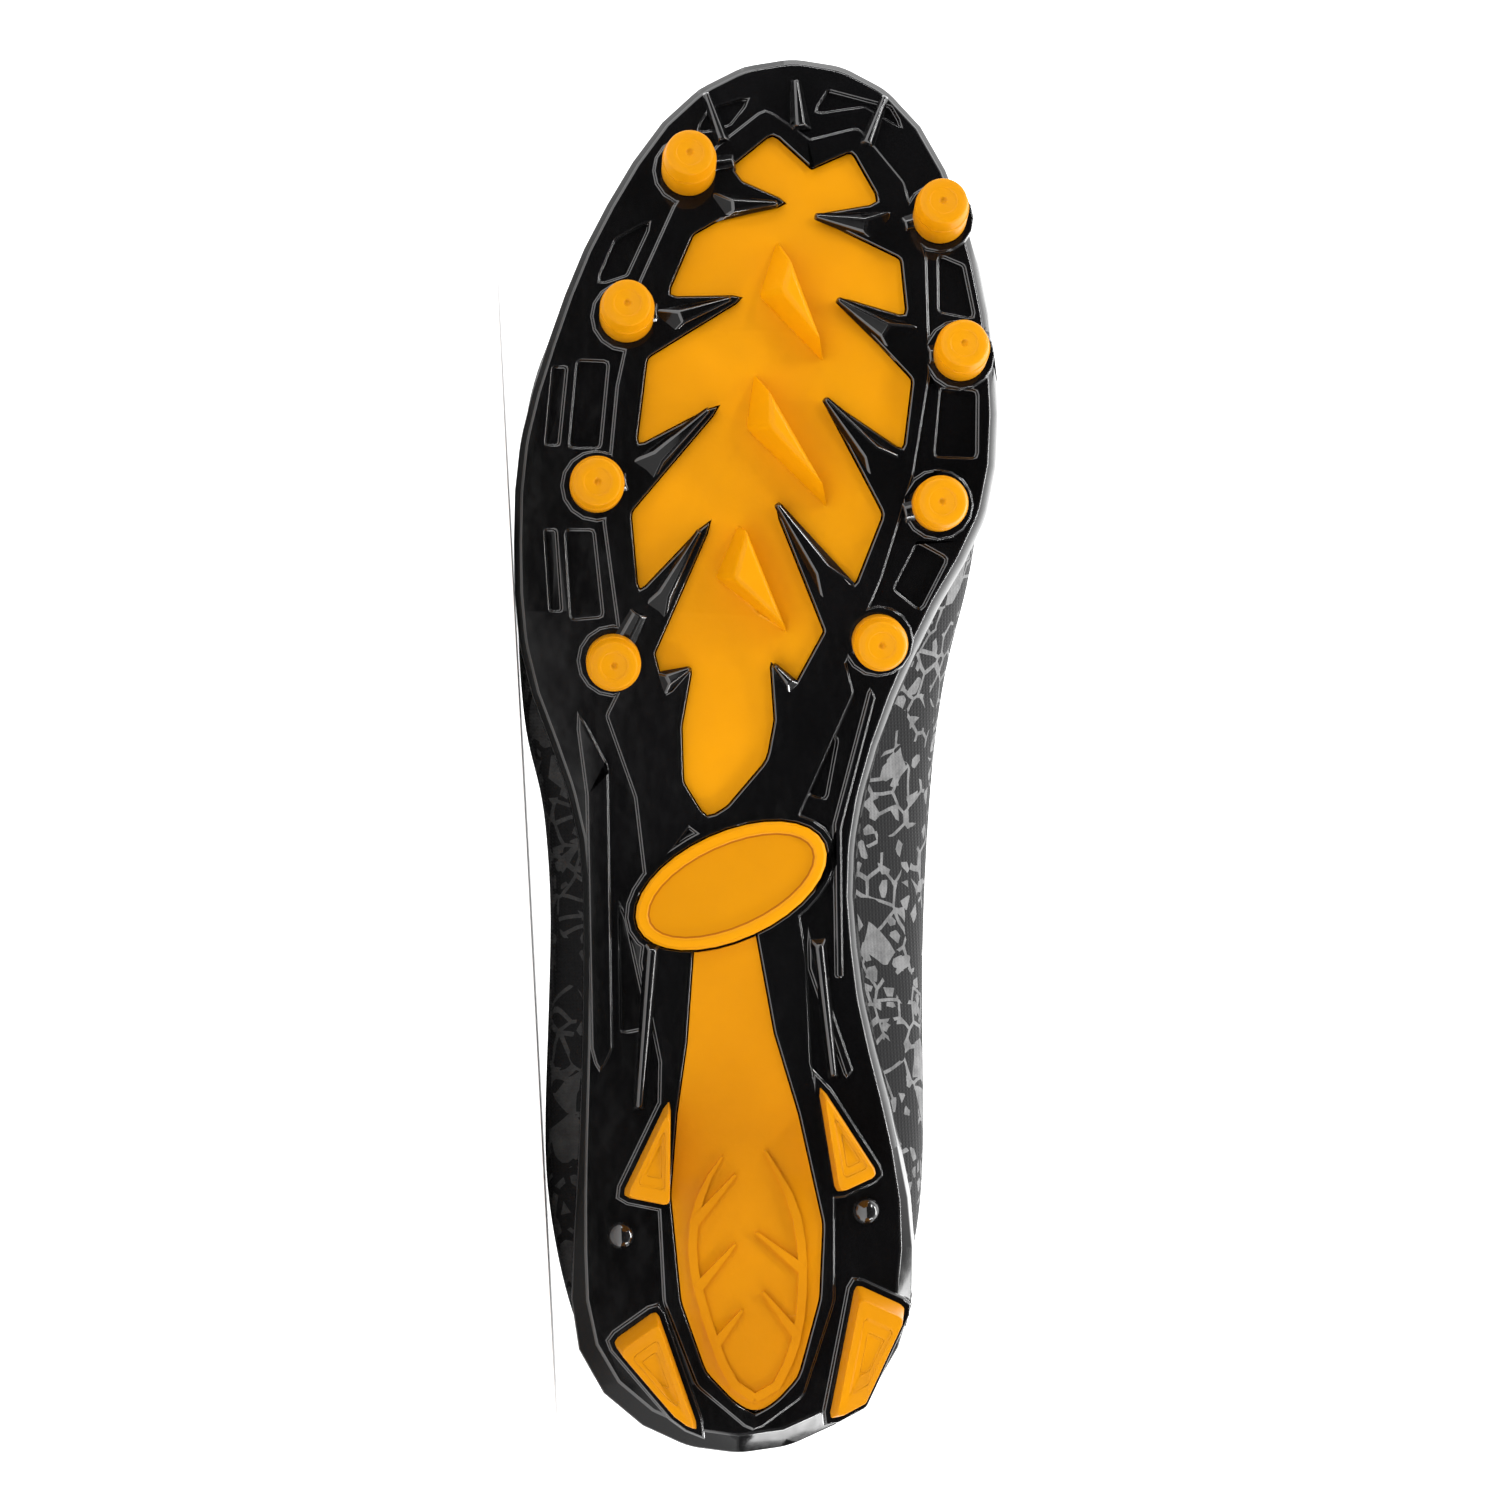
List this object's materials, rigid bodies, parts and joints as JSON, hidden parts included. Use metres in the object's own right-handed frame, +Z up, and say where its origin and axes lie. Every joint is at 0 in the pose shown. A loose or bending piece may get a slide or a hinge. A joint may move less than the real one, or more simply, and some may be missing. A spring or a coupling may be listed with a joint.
{
  "type": "american football cleat",
  "caption": "Low-cut right football cleat lying on its side, black studded plate with orange insert, studs and blades, hollow textile upper with laces.",
  "frame": {"origin": "centre of the shoe's box on the floor it lies on", "axes": "+X towards the toe, +Y out of the sole, +Z up, towards the medial side of the shoe, which lies on its lateral side"},
  "size_m": [0.299, 0.1294, 0.1058],
  "materials": {
    "gloss_black": "gloss moulded black plate",
    "golden_orange": "satin golden-orange moulding",
    "strip_orange": "satin deeper orange moulding",
    "stud_orange": "satin orange stud",
    "knit_black": "black textile, matt",
    "overlay_black": "black synthetic overlay",
    "lining_black": "black knit over foam",
    "lace_black": "flat woven lace"
  },
  "bodies": {
    "root": {"outsole": "gloss_black", "forefoot_insert": "golden_orange", "shank_strip": "strip_orange", "oval_badge": "golden_orange", "upper": "knit_black", "tongue": "knit_black", "insole": "lining_black", "eyestay": "overlay_black", "lace": "lace_black", "stud_lateral_1": "stud_orange", "stud_lateral_2": "stud_orange", "stud_lateral_3": "stud_orange", "stud_lateral_4": "stud_orange", "stud_medial_1": "stud_orange", "stud_medial_2": "stud_orange", "stud_medial_3": "stud_orange", "stud_medial_4": "stud_orange", "heel_blade_lateral_1": "strip_orange", "heel_blade_lateral_2": "strip_orange", "heel_blade_medial_1": "strip_orange", "heel_blade_medial_2": "strip_orange", "heel_dome_lateral": "gloss_black", "heel_dome_medial": "gloss_black", "eyelet_lateral_1": "overlay_black", "eyelet_lateral_2": "overlay_black", "eyelet_lateral_3": "overlay_black", "eyelet_lateral_4": "overlay_black", "eyelet_lateral_5": "overlay_black", "eyelet_medial_1": "overlay_black", "eyelet_medial_2": "overlay_black", "eyelet_medial_3": "overlay_black", "eyelet_medial_4": "overlay_black", "eyelet_medial_5": "overlay_black"}
  },
  "joints": []
}
